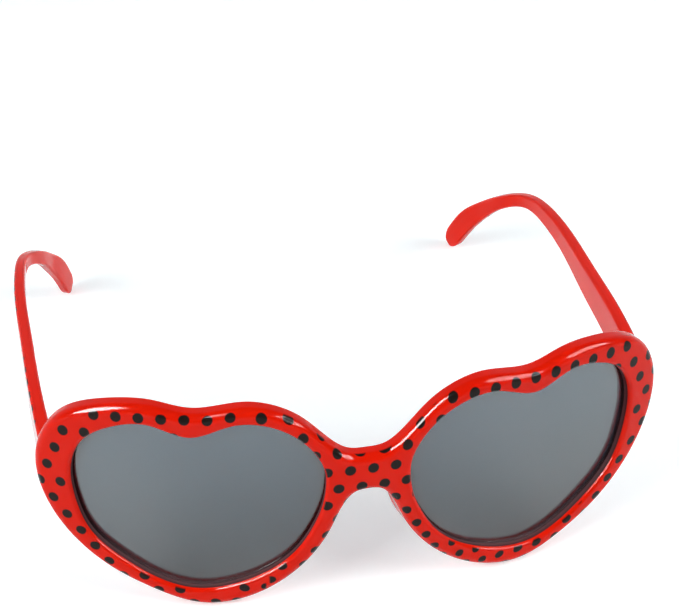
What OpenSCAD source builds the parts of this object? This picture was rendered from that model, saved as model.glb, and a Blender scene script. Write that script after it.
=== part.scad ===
// Heart shaped sunglasses: a bent moulded front with two lenses, and two folding arms on pin hinges.
// The front is modelled upright with the middle of the bridge's face on the axes, then the whole pair
// is tipped a little so that both hearts and both ear tips stand on the table.

/* [Front] */
// width of one lens opening, measured along the bent face
lens_w = 59.5; // [54:0.5:66]
// height of one lens opening, from its middle lobe to its tip
lens_h = 50.6; // [46:0.2:56]
// distance between the middles of the two openings, measured along the bent face
pitch = 80; // [77:0.5:90]
// nominal width of the rim around an opening
rim_w = 5; // [4:0.1:7]
// thickness of the front
front_t = 4.5; // [4.2:0.1:6]
// radius of the bend that wraps the front around the face
bend_r = 146; // [125:1:200]
// rounding of the rim's front edge
edge_r = 2.1; // [1.5:0.1:2.4]
// rounding of the rim's back edge
back_r = 0.5; // [0.3:0.1:0.8]
// rounding around the front of each opening
lip_r = 0.9; // [0.5:0.05:1.1]

/* [Bridge] */
// height of the bridge between the hearts
bridge_h = 10.7; // [8:0.1:13]
// height of the bridge's middle above the middle of the openings
bridge_z = 10.25; // [8:0.05:13]
// width of the level part on top of the bridge
bridge_w = 7.6; // [5:0.2:9]
// width of the top of the nose arch below the bridge
arch_w = 5.4; // [4:0.2:7]

/* [Nose pads] */
// how far the pads stand behind the front
pad_d = 4.5; // [2:0.1:7]
// how far the back edge of a pad leans out towards the nose
pad_out = 1.2; // [0:0.1:2]
// thickness of a pad at its back edge
pad_t = 1.6; // [1.3:0.1:2]

/* [Lenses] */
// thickness of a lens
lens_t = 1.2; // [0.8:0.1:1.4]
// depth of a lens behind the front face
lens_in = 2.2; // [1.6:0.1:2.4]
// depth of the groove that holds a lens
groove = 0.9; // [0.7:0.05:1.1]
// play between the edge of a lens and the bottom of its groove
lens_play = 0.4; // [0.3:0.05:0.5]
// play on each face of a lens
face_play = 0.05; // [0.02:0.01:0.1]

/* [Arms] */
// length of an arm from the front to the end of the ear hook, measured straight back
arm_run = 119; // [105:1:135]
// height of an arm where it meets the front
arm_h = 12.3; // [10:0.1:14]
// thickness of an arm
arm_t = 3.4; // [2.8:0.1:4]
// how far the ear hook drops below the root of the arm
hook_drop = 43; // [30:1:55]
// how far the ear hook leans in from the root of the arm
hook_in = 15; // [5:0.5:20]
// height of the root's middle above the middle of the openings
root_z = 7.7; // [6.5:0.1:9]
// length of the rounded end
tip_l = 6.3; // [4:0.1:8]
// play between the root of an arm and the back of the front
butt_gap = 0.15; // [0.1:0.05:0.3]

/* [Hinges] */
// height of a hinge over its three knuckles
hinge_h = 7.2; // [6:0.1:9]
// outer radius of a knuckle
knuckle_r = 1.3; // [1.1:0.05:1.4]
// radius of the screw's shank
screw_r = 0.6; // [0.5:0.05:0.7]
// running play between the shank and the knuckles
pin_play = 0.04; // [0.02:0.01:0.08]
// gap between neighbouring knuckles
knuckle_gap = 0.08; // [0.05:0.01:0.15]
// thickness of a leaf
leaf_t = 0.9; // [0.7:0.05:1.1]
// depth of a leaf in the plastic
leaf_sink = 0.6; // [0.4:0.05:0.6]
// width of the leaf on the front
leaf_w = 3; // [2.6:0.1:3.2]
// length of the leaf on the arm
leaf_l = 8; // [6:0.2:12]
// distance of the pin from the side of the front, measured along the bent face
pin_in = 4.5; // [4.2:0.1:5]
// distance of the pin from the inner face of the arm
pin_off = 1.9; // [1.8:0.1:2.2]
// gap between the middle knuckle and the leaf on the front
pin_lift = 0.4; // [0.3:0.05:0.6]
// radius of the screw's head
head_r = 1.05; // [0.9:0.05:1.2]
// thickness of the screw's head
head_t = 0.55; // [0.4:0.05:0.7]
// width of the slot in the screw's head
slot_w = 0.3; // [0.2:0.05:0.4]

/* [Hidden] */
// overrun of a cut past the face it opens
over = 0.5 * lens_t;
// play around a leaf in its pocket
leaf_play = pin_play;
// spans drawn along the outline between two of its points
steps = 4;
// spans drawn along an arm between two of its points
arm_steps = 4;
// facets of the round pieces, and of the wide bend of the lenses
round_facets = 40;
bend_facets = 720;

// The heart's opening, clockwise as seen from the front and starting at the bridge's top: across and up
// as shares of half the opening's width and height.
open_shares = [[-1.01, 0.42], [-0.98, 0.57], [-0.91, 0.73], [-0.72, 0.96], [-0.32, 1.06], [0.03, 0.91],
               [0.34, 1.02], [0.59, 0.97], [0.85, 0.76], [0.98, 0.36], [0.96, 0.01], [0.85, -0.36],
               [0.57, -0.67], [0.3, -0.86], [0.03, -0.94], [-0.3, -0.86], [-0.56, -0.7], [-0.77, -0.47],
               [-0.91, -0.18], [-0.98, 0.05], [-1, 0.17], [-1.01, 0.28]];
// From the opening's third point to its fourth from last: across and up to the rim's outer edge, as
// shares of the rim's width.
rim_shares = [[-0.98, 0.08], [-0.58, 0.52], [-0.44, 0.9], [0.04, 1.24], [-0.18, 0.98], [0.3, 1.12],
              [1.24, 1.12], [1.76, 0.84], [1.64, -0.24], [0.86, -0.76], [0.68, -0.74], [0.38, -0.76],
              [-0.14, -1.02], [-0.4, -1.04], [-0.38, -0.98], [-0.54, -0.8], [-0.9, -0.3]];
// How far the nose pad stands out at the points from the heart's tip to the nose arch.
pad_shares = [0, 0.1, 0.55, 1, 1, 0.45, 0, 0];
// An arm from its root to the start of its rounded end: in, back and down as shares of hook_in, arm_run
// and hook_drop, then its height and thickness as shares of arm_h and arm_t.
arm_shares = [[0, 0, 0, 1, 1], [-0.04, 0.185, 0.013, 0.84, 0.9], [-0.03, 0.37, 0.06, 0.69, 0.87],
              [-0.015, 0.525, 0.095, 0.52, 0.84], [0.06, 0.66, 0.146, 0.4, 0.79],
              [0.2, 0.757, 0.225, 0.3, 0.75], [0.49, 0.84, 0.382, 0.305, 0.75],
              [0.66, 0.9, 0.545, 0.385, 0.77], [0.82, 0.944, 0.69, 0.465, 0.77],
              [0.98, 0.99, 0.9, 0.475, 0.7]];
// Cuts of an arm's rounded end, as shares of a quarter turn.
end_shares = [0, 0.28, 0.5, 0.69, 0.84];

// The bridge's top and the nose arch below it, from the middle outwards and inwards: across and up as
// shares of bridge_w and of arch_w.
bridge_shares = [[0, 0], [0.5, 0.04]];
arch_shares = [[0.87, -0.48], [0.5, -0.09], [0, 0]];
// Depth of a rounding's middle point, as a share of its radius.
round_share = 0.293;
// Corner rounding of an arm as a share of its thickness, and foot of a pad as a share of pad_t.
corner_share = 0.26;
foot_share = 1.3;

// Points of the opening and of the rim's outer edge, measured from the middle of the opening.
half = [lens_w / 2, lens_h / 2];
mid = [-pitch / 2, 0];
top = mid + [0, bridge_z + bridge_h / 2];
low = mid + [0, bridge_z - bridge_h / 2];
inner = [for (s = open_shares) [s[0] * half[0], s[1] * half[1]]];
outer = concat([for (s = bridge_shares) top + bridge_w * s],
               [for (i = [0 : len(rim_shares) - 1]) inner[i + len(bridge_shares)] + rim_w * rim_shares[i]],
               [for (s = arch_shares) low + arch_w * s]);
count = len(inner);
last = count - 1;
pad_first = count - len(pad_shares);

// One span of a smooth curve from b to c, its direction, and the side on the left of that direction.
function curve(a, b, c, d, t) =
    (2 * b + (c - a) * t + (2 * a - 5 * b + 4 * c - d) * t * t + (3 * b - a - 3 * c + d) * t * t * t) / 2;
function heading(a, b, c, d, t) =
    ((c - a) + 2 * (2 * a - 5 * b + 4 * c - d) * t + 3 * (3 * b - a - 3 * c + d) * t * t) / 2;
function left_of(v) = [-v[1], v[0]] / norm(v);

// The opening's edge and the rim's edge at share t of span i, each with the direction away from the opening.
// The rim's last span runs up the bridge's middle, where both halves of the front meet.
function ring(i) = inner[(i + count) % count];
function open_at(i, t) = curve(ring(i - 1), ring(i), ring(i + 1), ring(i + 2), t);
function open_out(i, t) = left_of(heading(ring(i - 1), ring(i), ring(i + 1), ring(i + 2), t));
function across(p) = [2 * mid[0] - p[0], p[1]];
function edge(i) = i < 0 ? across(outer[1]) : i > last ? across(outer[last - 1]) : outer[i];
function rim_at(i, t) =
    i == last ? outer[last] + (outer[0] - outer[last]) * t
              : curve(edge(i - 1), edge(i), edge(i + 1), edge(i + 2), t);
function rim_out(i, t) =
    i < last ? left_of(heading(edge(i - 1), edge(i), edge(i + 1), edge(i + 2), t))
             : t == 0 ? [0, -1] : [0, 0];
function pad_point(i) = i < pad_first || i > last ? 0 : pad_shares[i - pad_first];
function pad_at(i, t) =
    max(0, curve(pad_point(i - 1), pad_point(i), pad_point(i + 1), pad_point(i + 2), t));

// A point of the flat outline laid on the bend, at a depth behind the face.
function wrap(side, p, depth) =
    let (a = (p[0] - mid[0]) / bend_r * 180 / PI)
    [side * (bend_r - depth) * sin(a), bend_r - (bend_r - depth) * cos(a), p[1]];
function behind(x, depth) = bend_r - sqrt(pow(bend_r - depth, 2) - x * x);

// The rim cut across at one station, each point of the outline with its depth: the rounding of the
// opening, then the face, the side, the nose pad and the back, then the groove of the lens.
groove_front = lens_in - face_play;
groove_back = lens_in + lens_t + face_play;
function lip_cut(p, q) =
    [[p, lip_r], [p + lip_r * round_share * q, lip_r * round_share], [p + lip_r * q, 0]];
function rim_cut(o, r, w) =
    let (lean = w * pad_out, back = front_t + w * pad_d)
    [[o - edge_r * r, 0], [o - edge_r * round_share * r, edge_r * round_share], [o, edge_r],
     [o + lean * r, back - back_r], [o + (lean - back_r) * r, back], [o + (lean - pad_t) * r, back],
     [o - pad_t * foot_share * r, front_t]];
function groove_cut(p, q) =
    [[p, front_t], [p, groove_back], [p + groove * q, groove_back], [p + groove * q, groove_front],
     [p, groove_front]];
function cut(i, t) =
    concat(lip_cut(open_at(i, t), open_out(i, t)), rim_cut(rim_at(i, t), rim_out(i, t), pad_at(i, t)),
           groove_cut(open_at(i, t), open_out(i, t)));
rim_first = len(lip_cut(mid, mid));
rim_last = rim_first + len(rim_cut(mid, mid, 0)) - 1;

stations = [for (i = [0 : last], k = [0 : steps - 1]) [i, k / steps]];
stops = len(stations);
middle = last * steps;
front_points = [for (side = [1, -1], s = stations, c = cut(s[0], s[1])) wrap(side, c[0], c[1])];
rows = len(front_points) / stops / 2;

// Number of the point in a row of a station. The points in the middle of the bridge belong to both halves.
function shared(j, row) = (j == 0 || j >= middle) && row >= rim_first && row <= rim_last;
function seat(half, j, row) =
    let (jj = j % stops, rr = row % rows) (shared(jj, rr) ? 0 : half * stops * rows) + jj * rows + rr;
function two(a, b, c, d, turn) = turn ? [[a, b, c], [a, c, d]] : [[a, c, b], [a, d, c]];
front_faces = [
    for (h = [0, 1], j = [0 : stops - 1], row = [0 : rows - 1])
        if (j < middle || row < rim_first || row >= rim_last)
            let (a = seat(h, j, row), b = seat(h, j + 1, row), c = seat(h, j + 1, row + 1),
                 d = seat(h, j, row + 1))
                for (f = two(a, b, c, d, h == 1)) f];

// The hinge on the right: its angle along the bend, the pin's middle and the inner face of the arm.
reach = max([for (p = outer) p[0]]) - mid[0];
pin_turn = (reach - pin_in) / bend_r * 180 / PI;
proud = leaf_t - leaf_sink;
pin_rise = knuckle_r + pin_lift + proud;
pin_r = bend_r - front_t - pin_rise;
pin = [pin_r * sin(pin_turn), bend_r - pin_r * cos(pin_turn), root_z];
knuckle_h = (hinge_h - 2 * knuckle_gap) / 3;
knuckle_step = knuckle_h + knuckle_gap;
root_x = pin[0] + pin_off + arm_t / 2;
root = [root_x, behind(root_x, front_t), root_z];

// The arm's middle line and its size at share t of span i, and its rounded end.
arm_rows = [for (s = arm_shares)
    [root - [hook_in * s[0], -arm_run * s[1], hook_drop * s[2]], arm_h * s[3], arm_t * s[4]]];
arm_last = len(arm_rows) - 1;
arm_end = arm_rows[arm_last];
function arm_row(i, k) =
    i < 0 ? 2 * arm_rows[0][k] - arm_rows[1][k]
          : i > arm_last ? 2 * arm_end[k] - arm_rows[arm_last - 1][k] : arm_rows[i][k];
function arm_at(i, t, k) = curve(arm_row(i - 1, k), arm_row(i, k), arm_row(i + 1, k), arm_row(i + 2, k), t);
function arm_dir(i, t) =
    let (v = heading(arm_row(i - 1, 0), arm_row(i, 0), arm_row(i + 1, 0), arm_row(i + 2, 0), t)) v / norm(v);
arm_cuts = concat(
    [for (i = [0 : arm_last - 1], k = [0 : arm_steps - 1])
        let (t = k / arm_steps) [arm_at(i, t, 0), arm_dir(i, t), arm_at(i, t, 1), arm_at(i, t, 2)]],
    [for (s = end_shares)
        let (turn = 90 * s, dir = arm_dir(arm_last, 0))
        [arm_end[0] + dir * tip_l * sin(turn), dir, arm_end[1] * cos(turn), arm_end[2] * sqrt(cos(turn))]]);

// The arm cut across, rounded at its corners. The first cut follows the back of the front.
function corner(sx, sz, w, h, c) =
    let (list = [[w - c, h], [w - c * round_share, h - c * round_share], [w, h - c]])
    [for (p = sx * sz > 0 ? list : [list[2], list[1], list[0]]) [sx * p[0], sz * p[1]]];
function arm_cut(c) =
    let (side = cross(c[1], [0, 0, 1]), s = side / norm(side), u = cross(s, c[1]), w = c[3] / 2,
         h = c[2] / 2, r = min(w, h) * 2 * corner_share)
    [for (way = [[1, 1], [1, -1], [-1, -1], [-1, 1]], p = corner(way[0], way[1], w, h, r))
        c[0] + s * p[0] + u * p[1]];
butt = front_t + butt_gap;
arm_rings = [for (k = [0 : len(arm_cuts) - 1])
    [for (p = arm_cut(arm_cuts[k])) k > 0 ? p : [p[0], behind(p[0], butt), p[2]]]];
around = len(arm_rings[0]);
arm_ends = [[root[0], behind(root[0], butt), root[2]], arm_cuts[len(arm_cuts) - 1][0]];
arm_points = concat([for (r = arm_rings, p = r) p], arm_ends);
far = (len(arm_rings) - 1) * around;
function turn_on(k) = (k + 1) % around;
arm_faces = concat(
    [for (j = [0 : len(arm_rings) - 2], k = [0 : around - 1])
        let (a = j * around, b = a + around)
            for (f = two(a + k, b + k, b + turn_on(k), a + turn_on(k), true)) f],
    [for (k = [0 : around - 1]) [far + around, turn_on(k), k]],
    [for (k = [0 : around - 1]) [far + around + 1, far + k, far + turn_on(k)]]);

// The pose on the table: both hearts and both ear tips touch it, and the whole pair stands in the middle.
function lowest(list) = let (z = min([for (p = list) p[2]])) [for (p = list) if (p[2] == z) p][0];
heart_low = lowest(front_points);
ear_low = lowest(arm_points);
tip_turn = atan2(heart_low[2] - ear_low[2], ear_low[1] - heart_low[1]);
function tipped(p) =
    [p[0], p[1] * cos(tip_turn) - p[2] * sin(tip_turn), p[1] * sin(tip_turn) + p[2] * cos(tip_turn)];
standing = [for (p = concat(front_points, arm_points)) tipped(p)];
depths = [for (p = standing) p[1]];
lift = [0, -(min(depths) + max(depths)) / 2, -min([for (p = standing) p[2]])];

module placed() {
    translate(lift) rotate([tip_turn, 0, 0]) children();
}

module on_side(side) {
    placed() mirror([side < 0 ? 1 : 0, 0, 0]) children();
}

// The hinge's own place: its pin upright through the middle, the leaf on the front turned to the bend.
module at_pin() {
    translate(pin) children();
}

module at_front_leaf() {
    translate(pin) rotate([0, 0, pin_turn]) children();
}

module leaf_plate(from, size, play) {
    translate(from - [play, play, play]) cube(size + 2 * [play, play, play]);
}

// Share of the front's leaf on the far side of the pin, places and radius of the studs on a leaf, height
// of the arm's leaf, and width of the webs that carry the front's knuckles.
leaf_edge_share = 0.27;
stud_share = 0.3;
stud_r_share = 0.2;
arm_leaf_share = 0.75;
web_share = 0.6;
stud_r = leaf_w * stud_r_share;
stud_l = leaf_t;
web = 2 * knuckle_r * web_share;
front_leaf_from = [-leaf_w * (1 - leaf_edge_share), -pin_rise - leaf_sink, -hinge_h / 2];
front_leaf_size = [leaf_w, leaf_t, hinge_h];
arm_leaf_start = knuckle_r + pin_lift;
arm_leaf_h = hinge_h * arm_leaf_share;
arm_leaf_from = [pin_off - proud, arm_leaf_start, -arm_leaf_h / 2];
arm_leaf_size = [leaf_t, leaf_l, arm_leaf_h];

// Studs that hold the two leaves in the plastic, or the holes for them.
module front_studs(play) {
    for (s = [-1, 1])
        translate([front_leaf_from[0] + leaf_w / 2, front_leaf_from[1] + over, s * hinge_h * stud_share])
            rotate([90, 0, 0]) cylinder(h = stud_l + over + play, r = stud_r + play, $fn = round_facets);
}

module arm_studs(play) {
    for (s = [-1, 1])
        translate([pin_off + leaf_sink - over, arm_leaf_start + leaf_l / 2 + s * leaf_l * stud_share, 0])
            rotate([0, 90, 0]) cylinder(h = stud_l + over + play, r = stud_r + play, $fn = round_facets);
}

module knuckle(step) {
    translate([0, 0, step * knuckle_step - knuckle_h / 2])
        cylinder(h = knuckle_h, r = knuckle_r, $fn = round_facets);
}

module pin_bore() {
    translate([0, 0, -hinge_h / 2 - over])
        cylinder(h = hinge_h + 2 * over, r = screw_r + pin_play, $fn = round_facets);
}

// The whole front in one moulding: two hearts, bridge and nose pads, with the pockets of the hinges.
module front_frame() {
    color("#E0281E") placed() difference() {
        polyhedron(points = front_points, faces = front_faces, convexity = 10);
        for (side = [0, 1]) mirror([side, 0, 0]) at_front_leaf() {
            leaf_plate(front_leaf_from, front_leaf_size + [0, over, 0], leaf_play);
            front_studs(leaf_play);
        }
    }
}

// A lens: a heart cut from a sheet bent to the radius of the front.
lens_mid = bend_r - lens_in - lens_t / 2;
lens_edge = [for (s = stations) open_at(s[0], s[1]) + (groove - lens_play) * open_out(s[0], s[1])];
module lens(side) {
    color("#6E7478") on_side(side) intersection() {
        translate([0, bend_r, -lens_h]) difference() {
            cylinder(h = 2 * lens_h, r = bend_r - lens_in, $fn = bend_facets);
            translate([0, 0, -over])
                cylinder(h = 2 * (lens_h + over), r = bend_r - lens_in - lens_t, $fn = bend_facets);
        }
        translate([0, bend_r / 2, 0]) rotate([90, 0, 0]) linear_extrude(bend_r)
            polygon([for (p = lens_edge) [lens_mid * sin((p[0] - mid[0]) / bend_r * 180 / PI), p[1]]]);
    }
}

// An arm with its ear hook and the pocket of its leaf.
module temple(side) {
    color("#DC4A40") on_side(side) difference() {
        polyhedron(points = arm_points, faces = arm_faces, convexity = 6);
        at_pin() {
            leaf_plate(arm_leaf_from - [over, 0, 0], arm_leaf_size + [over, 0, 0], leaf_play);
            arm_studs(leaf_play);
        }
    }
}

// The leaf set into the back of the front, with the upper and the lower knuckle.
module hinge_front_leaf(side) {
    color("#B9BCC0") on_side(side) at_front_leaf() difference() {
        union() {
            leaf_plate(front_leaf_from, front_leaf_size, 0);
            front_studs(0);
            for (step = [-1, 1]) {
                knuckle(step);
                translate([-web / 2, front_leaf_from[1] + leaf_t / 2, step * knuckle_step - knuckle_h / 2])
                    cube([web, pin_rise, knuckle_h]);
            }
        }
        pin_bore();
    }
}

// The leaf set into the arm, with the middle knuckle.
module hinge_temple_leaf(side) {
    inside = arm_leaf_from + [leaf_t, leaf_t, 0] / 2;
    color("#A9ADB2") on_side(side) at_pin() difference() {
        union() {
            leaf_plate(arm_leaf_from, arm_leaf_size, 0);
            arm_studs(0);
            knuckle(0);
            translate([0, 0, -knuckle_h / 2]) linear_extrude(knuckle_h)
                polygon([[0, 0], [knuckle_r, 0], [inside[0], inside[1]], [inside[0], inside[1] + leaf_t / 2],
                         [0, knuckle_r]]);
        }
        pin_bore();
    }
}

// The screw that is the hinge's pin, with its slotted head on the upper knuckle.
module hinge_screw(side) {
    color("#D2D4D6") on_side(side) at_pin() difference() {
        union() {
            translate([0, 0, -hinge_h / 2]) cylinder(h = hinge_h + over, r = screw_r, $fn = round_facets);
            translate([0, 0, hinge_h / 2]) cylinder(h = head_t, r = head_r, $fn = round_facets);
        }
        translate([-head_r - over, -slot_w / 2, hinge_h / 2 + head_t / 2])
            cube([2 * (head_r + over), slot_w, head_t]);
    }
}

front_frame();
lens(-1);  // left_lens
lens(1);  // right_lens
temple(-1);  // left_temple
temple(1);  // right_temple
hinge_front_leaf(-1);  // left_hinge_front_leaf
hinge_front_leaf(1);  // right_hinge_front_leaf
hinge_temple_leaf(-1);  // left_hinge_temple_leaf
hinge_temple_leaf(1);  // right_hinge_temple_leaf
hinge_screw(-1);  // left_hinge_screw
hinge_screw(1);  // right_hinge_screw
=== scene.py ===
"""Heart shaped sunglasses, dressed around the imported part.

The moulded front, the two lenses and the two arms are drawn again as fine surfaces from the part's own sizes,
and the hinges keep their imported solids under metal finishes. Lengths are millimetres in the front's own
frame, upright with the middle of the bridge's face on the axes, until Standing puts them on the table.
"""

import logging
import math
from dataclasses import dataclass
from enum import Enum

import bpy
import numpy as np
from mathutils import Matrix, Vector


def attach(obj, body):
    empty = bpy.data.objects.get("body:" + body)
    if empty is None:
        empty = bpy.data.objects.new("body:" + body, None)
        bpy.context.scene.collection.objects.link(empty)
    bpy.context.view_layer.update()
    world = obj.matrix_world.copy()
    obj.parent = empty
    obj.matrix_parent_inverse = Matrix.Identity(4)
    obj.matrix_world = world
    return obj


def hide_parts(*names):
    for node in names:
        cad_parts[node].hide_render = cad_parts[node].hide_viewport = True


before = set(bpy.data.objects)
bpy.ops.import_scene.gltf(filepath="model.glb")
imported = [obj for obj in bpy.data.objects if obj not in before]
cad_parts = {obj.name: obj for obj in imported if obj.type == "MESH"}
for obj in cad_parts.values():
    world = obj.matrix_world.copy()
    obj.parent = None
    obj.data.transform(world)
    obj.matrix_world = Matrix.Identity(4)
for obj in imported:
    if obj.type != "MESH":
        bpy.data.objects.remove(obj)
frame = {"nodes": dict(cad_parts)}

Array = np.ndarray
MM = 0.001
WELD = 1e-7
log = logging.getLogger("sunglasses")


class Side(Enum):
    """Which heart or arm, as the front is looked at."""

    LEFT = -1
    RIGHT = 1

    @property
    def word(self) -> str:
        """The side's name in piece names."""
        return self.name.lower()


class Place(Enum):
    """Names of the attributes that carry a finish over a surface, three numbers a point.

    PRINT holds the place along the rows of dots, the level across them and the printed share. GROOVE holds
    the share of the openings' wall that is painted in shade, and of that wall's foot, where the painted shade
    is lighter, or of a lens's edge ring of painted shade and reflection.
    """

    PRINT = "print_place"
    GROOVE = "groove_shade"


# Curves and meshes


def smooth_curve(points: Array, index: Array, closed: bool) -> tuple[Array, Array]:
    """Point and direction on a curve that passes smoothly through given points.

    The curve is the cubic spline whose parameter grows with the distance between neighbours, so neither its
    direction nor its bend jumps. Between points i and j a value is a Pi + b Pj plus a sixth of h squared
    times (a cubed - a) Bi + (b cubed - b) Bj. The shares of the span left and done are a and b, its length
    is h, and the spline's linear system gives the bends B.

    Args:
        points: one row per point.
        index: whole part for the span and fraction for the share of it, one value per station.
        closed: True for a loop, False for a curve whose ends are free of bend.

    Returns:
        The points and the directions at the stations.
    """
    n = len(points)
    row = np.arange(n)
    gap = np.linalg.norm(np.roll(points, -1, 0) - points, axis=1)
    before = np.roll(gap, 1)
    slope = (np.roll(points, -1, 0) - points) / gap[:, None]
    system = np.diag(2 * (before + gap))
    system[row, (row - 1) % n] += before
    system[row, (row + 1) % n] += gap
    change = 6 * (slope - np.roll(slope, 1, 0))
    if not closed:
        system[[0, -1]] = 0
        system[0, 0] = system[-1, -1] = 1
        change[[0, -1]] = 0
    bend = np.linalg.solve(system, change)
    i = np.floor(index).astype(int) % n
    if not closed:
        i = np.minimum(i, n - 2)
    j = (i + 1) % n
    b = (index - i if not closed else index - np.floor(index))[:, None]
    a = 1 - b
    h = gap[i][:, None]
    place = a * points[i] + b * points[j] + h**2 / 6 * ((a**3 - a) * bend[i] + (b**3 - b) * bend[j])
    heading = (points[j] - points[i]) / h + h / 6 * ((1 - 3 * a**2) * bend[i] + (3 * b**2 - 1) * bend[j])
    return place, heading


def left_of(heading: Array) -> Array:
    """Unit directions on the left of flat headings: each heading turned by a quarter."""
    turned = np.stack([-heading[:, 1], heading[:, 0]], axis=1)
    return turned / np.linalg.norm(turned, axis=1)[:, None]


def ease(value: Array | float, start: float = 0.0, span: float = 1.0) -> Array:
    """Smooth step from 0 at the start to 1 a span on: at a share v of the span, v squared times 3 - 2 v."""
    v = np.clip((value - start) / span, 0, 1)
    return v * v * (3 - 2 * v)


def grid_faces(columns: int, rows: int, closed_columns: bool, closed_rows: bool) -> Array:
    """Quads of a grid of points numbered column by column.

    Args:
        columns: number of stations.
        rows: number of points at each station.
        closed_columns: True where the last station joins the first.
        closed_rows: True where the last row joins the first.

    Returns:
        One row of four point numbers per quad.
    """
    c, r = np.meshgrid(
        np.arange(columns if closed_columns else columns - 1),
        np.arange(rows if closed_rows else rows - 1),
        indexing="ij",
    )
    c, r = c.ravel(), r.ravel()
    c2, r2 = (c + 1) % columns, (r + 1) % rows
    return np.stack([c * rows + r, c2 * rows + r, c2 * rows + r2, c * rows + r2], axis=1)


def add_mesh(name: str, points: Array, faces: Array, marks: dict[Place, Array],
             crease: float) -> bpy.types.Object:
    """A closed mesh from a grid: equal points are welded, empty faces dropped, and all turned outwards.

    Points count as equal when rounding them to WELD makes them so. The sum of each triangle's a . (b x c) is
    six times the volume, so a negative sum turns all faces round.

    Args:
        name: name of the piece.
        points: one row per point, in metres.
        faces: quads, where a repeated number makes a triangle.
        marks: values to keep on the points, three numbers each.
        crease: angle in degrees past which an edge is sharp.

    Returns:
        The object, at the origin, smooth shaded.
    """
    _, first, welded = np.unique(np.round(points / WELD), axis=0, return_index=True, return_inverse=True)
    quads = welded.reshape(-1)[faces]
    repeat = quads == np.roll(quads, -1, axis=1)
    quads = quads[repeat.sum(axis=1) <= 1]
    used, numbers = np.unique(quads, return_inverse=True)
    quads = numbers.reshape(quads.shape)
    keep = first[used]
    points = points[keep]
    a, b, c, d = (points[quads[:, k]] for k in range(4))
    volume = np.einsum("ij,ij->", a, np.cross(b, c)) + np.einsum("ij,ij->", a, np.cross(c, d))
    if volume < 0:
        quads = quads[:, ::-1]
    repeat = quads == np.roll(quads, -1, axis=1)
    pointed = repeat.any(axis=1)
    triangles = quads[pointed][~repeat[pointed]].reshape(-1, 3)
    mesh = bpy.data.meshes.new(name)
    mesh.from_pydata(points.tolist(), [], quads[~pointed].tolist() + triangles.tolist())
    for place, values in marks.items():
        layer = mesh.attributes.new(place.value, "FLOAT_VECTOR", "POINT")
        layer.data.foreach_set("vector", np.ascontiguousarray(values[keep], dtype=np.float32).ravel())
    mesh.polygons.foreach_set("use_smooth", np.ones(len(mesh.polygons), dtype=bool))
    mesh.set_sharp_from_angle(angle=math.radians(crease))
    mesh.validate()
    mesh.update()
    thing = bpy.data.objects.new(name, mesh)
    bpy.context.scene.collection.objects.link(thing)
    log.info("%s: %d points, %d faces", name, len(mesh.vertices), len(mesh.polygons))
    return thing


# The shape that every piece shares


@dataclass(frozen=True)
class Standing:
    """How the pair stands on the table: tipped about X, then moved, so both hearts and ear tips touch it."""

    tip_turn: float = 3.19088
    lift: tuple[float, float, float] = (0.0, -73.1707, 28.4315)

    def turn(self, points: Array) -> Array:
        """Directions of the front's frame turned to the table's: y and z turn about X.

        Args:
            points: x, y and z in the last axis.

        Returns:
            The turned directions, in an array of the same shape.
        """
        c, s = math.cos(math.radians(self.tip_turn)), math.sin(math.radians(self.tip_turn))
        x, y, z = points[..., 0], points[..., 1], points[..., 2]
        return np.stack([x, y * c - z * s, y * s + z * c], axis=-1)

    def place(self, points: Array) -> Array:
        """Points of the front's frame, in metres on the table."""
        return (self.turn(points) + np.array(self.lift)) * MM


@dataclass(frozen=True)
class Bend:
    """The cylinder that wraps the front around the face."""

    radius: float = 146.0

    def wrap(self, side: Side, across: Array, up: Array, depth: Array) -> Array:
        """Lays flat places on the bend, at a depth behind the face.

        A place goes to the angle across / radius on the circle of radius - depth.

        Args:
            side: the half of the front.
            across: distance from the bridge's middle along the face.
            up: height.
            depth: distance behind the face.

        Returns:
            The points, with x, y and z in the last axis.
        """
        angle = across / self.radius
        reach = self.radius - depth
        x, y = side.value * reach * np.sin(angle), self.radius - reach * np.cos(angle)
        return np.stack([x, y, up], axis=-1)

    def behind(self, x: Array, depth: float) -> Array:
        """How far back the surface at a depth lies at x: the radius less the circle's height there."""
        return self.radius - np.sqrt((self.radius - depth) ** 2 - x * x)


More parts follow.
